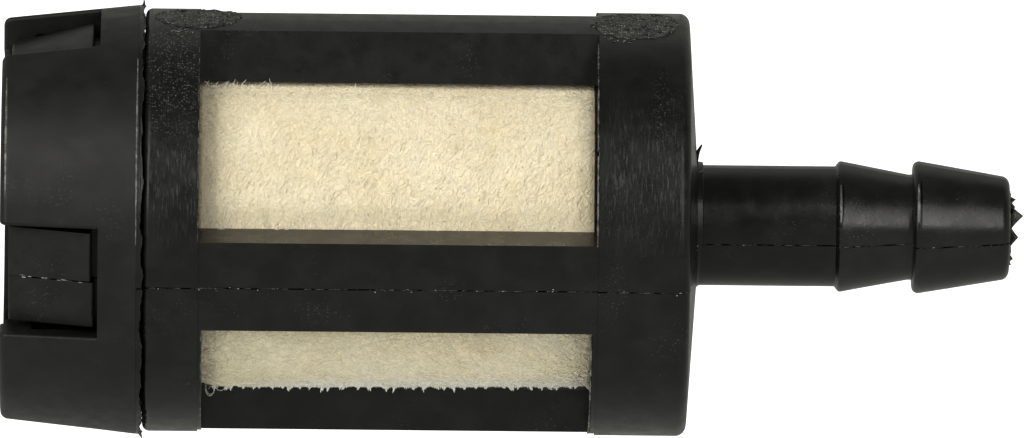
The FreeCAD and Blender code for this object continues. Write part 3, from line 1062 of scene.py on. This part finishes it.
def make_world():
    """A white backdrop. It lights the felt from below, and shows only dimly in the black nylon."""
    world = bpy.data.worlds.new("studio")
    world.use_nodes = True
    sky = Nodes(world.node_tree, "Generated")
    _, backward, height = sky.split_place()
    ray = sky.node("ShaderNodeLightPath").outputs
    behind = sky.math("MAXIMUM", backward, 0.0)
    lift = sky.math("SUBTRACT", height, sky.times(behind, 0.7))
    upper = sky.span(lift, 0.15, 0.55, MIRRORED_LEVEL, MIRRORED_OVERHEAD)
    lower = sky.span(height, -0.25, 0.12, MIRRORED_BELOW - MIRRORED_LEVEL, 0.0)
    mirrored = sky.plus(sky.plus(upper, lower), sky.times(behind, 0.06))
    lighting = sky.span(height, -0.5, 0.5, LIT_BELOW, LIT_OVERHEAD)
    strength = sky.mix(ray["Is Diffuse Ray"], mirrored, lighting, "FLOAT")
    strength = sky.mix(ray["Is Camera Ray"], strength, 1.0, "FLOAT")
    colour = sky.mix(ray["Is Diffuse Ray"], (0.99, 1.0, 0.91, 1), (0.96, 1.0, 0.98, 1))
    colour = sky.mix(ray["Is Camera Ray"], colour, (1.0, 1.0, 1.0, 1))
    background = sky.tree.nodes["Background"]
    sky.feed(background.inputs["Strength"], strength)
    sky.feed(background.inputs["Color"], colour)
    bpy.context.scene.world = world


def make_floor():
    """A plain pale floor. It is lit evenly, and the filter doesn't mirror it."""
    drop, half = -FLOOR_DROP * MM, FLOOR_HALF_WIDTH * MM
    corners = [(-half, -half, drop), (half, -half, drop), (half, half, drop), (-half, half, drop)]
    mesh = bpy.data.meshes.new("floor")
    mesh.from_pydata(corners, [], [(0, 1, 2, 3)])
    mesh.materials.append(pale_floor("pale_floor"))
    floor = bpy.data.objects.new("floor", mesh)
    floor.visible_glossy = False
    floor.visible_diffuse = False
    bpy.context.scene.collection.objects.link(floor)


def make_moulding_details(black):
    """Everything that stands on the mouldings: parting lines, flash, burrs, scars, painted edge highlights
    and painted shadow lines.
    """
    flash = thin_flash("black_nylon_flash", darker=0.007, paler=0.06)
    edge = thin_flash("black_nylon_edge_highlight", darker=0.006, paler=0.03)
    # painted highlight: the pale material of the edge highlight lines
    edge_highlight = thin_flash("black_nylon_painted_highlight", darker=0.05, paler=0.16)
    # painted shadow: the near-black, barely shiny material of the lines past the barbs' crests
    crest_shadow_material = thin_flash("black_nylon_painted_shadow", darker=0.0005, paler=0.001, shine=0.02)
    burr = thin_flash("black_nylon_burr", darker=0.02, paler=0.16)
    bright = thin_flash("bright_nylon_nick", darker=0.10, paler=0.5)
    for bearing, side in ((FRONT, "front"), (BACK, "back")):
        seed = 20 + int(bearing)
        parting_line(f"parting_line_{side}", cage_profile(), bearing, "cage", flash, seed)
        seam_nicks(f"parting_nicks_{side}", cage_profile(), 36, (0.03, 0.1), bearing, "cage", bright, seed)
        ramp = [(TONGUE_TIP + 0.1, TONGUE_TIP_RADIUS), (CATCH_STATION - 0.1, TONGUE_TOP_RADIUS - 0.03)]
        tongue = f"tongue_{side}"
        parting_line(f"tongue_parting_line_{side}", ramp, bearing, tongue, flash, seed + 11, 0.03)
        seam_nicks(f"tongue_parting_nicks_{side}", ramp, 12, (0.15, 0.5), bearing, tongue, bright, seed + 1)
    window_burrs(burr)
    rim_flash(black, edge)
    torn = torn_nylon("torn_black_nylon")
    gate_scar("gate_scar_cap_end", 7.39, TOP + 2.0, 1.65, 1.15, torn, 51)
    gate_scar("gate_scar_neck_end", 23.94, TOP, 1.71, 1.5, torn, 52)
    scar_scratches(burr)
    shoulder_curl(black)
    painted_edge_highlights(edge_highlight)
    crest_shadows(crest_shadow_material)
    nose_burr(flash)


def make_felt():
    """The felt sleeve, and its fibres in twelve sectors."""
    felt_body(cream_felt("felt_core", (0.76, 0.67, 0.47, 1), 0.12))
    fibre = cream_felt("felt_fibre", (0.90, 0.825, 0.64, 1), 0.0)
    # partly painted light: a whiter copy of the fibres' colour for the loose fluff, standing in part for
    # the light that falls on it from below
    fluff = cream_felt("felt_fluff", (0.96, 0.92, 0.82, 1), 0.0)
    sectors = 12
    for sector in range(sectors):
        first = sector * 360 / sectors
        fibre_mat(f"felt_fibres_{sector + 1}", 8500, first, first + 360 / sectors, fibre, 60 + sector)
    end_fibres(fibre)
    window_edge_hairs(fluff)
    lower_tufts(fluff)
    lower_fluff(fluff)
    curly_loop(fluff)


def make_lights():
    softboxes = (
        # name, azimuth, elevation, width, height, radiance, whether black nylon mirrors it
        ("left_softbox", -38.0, 37.0, 178.0, 248.0, 3.4, False),
        ("right_softbox", 23.0, 37.0, 161.0, 248.0, 1.6, False),
        ("left_strip", -45.0, 40.0, 120.0, 240.0, 2.4, True),
        ("right_strip", 24.5, 38.0, 62.0, 210.0, 3.2, True),
    )
    for softbox in softboxes:
        make_softbox(*softbox)


def paint_mouldings():
    """Gives the CAD's own plastic pieces their materials, and returns the cage's."""
    # each patch is its stations, then its bearings
    specks = (((5.5, 7.4), (44.0, 98.0)), ((24.6, 25.3), (45.0, 58.0)))
    scuffs = (((5.6, 7.4), (16.0, 42.0)), ((22.7, 25.9), (16.0, 50.0)))
    finishes = (
        # name, roughness of the body and of the neck, shine, specks, scuffs, whether a seam crosses it
        ("black_nylon_cage", 0.3, 0.24, 0.5, specks, scuffs, True),
        ("black_nylon_cap", 0.44, 0.44, 0.62, (), (), False),
        ("black_nylon_tongue", 0.42, 0.42, 0.62, (), (), True),
    )
    cage, cap, tongue = (black_nylon(*finish) for finish in finishes)
    paint("cage_body", cage)
    paint("end_cap", cap)
    for side in ("front", "top", "back", "bottom"):
        paint(f"snap_tongue_{side}", tongue)
    paint("support_core", natural_nylon("natural_nylon", 0.35, (0.62, 0.6, 0.52, 1)))
    return cage


def main():
    make_camera()
    make_world()
    make_floor()
    make_lights()
    bpy.context.scene.view_settings.view_transform = "Standard"
    make_moulding_details(paint_mouldings())
    screen_weave(natural_nylon("screen_nylon", 0.3, (0.68, 0.68, 0.64, 1)))
    make_felt()


main()
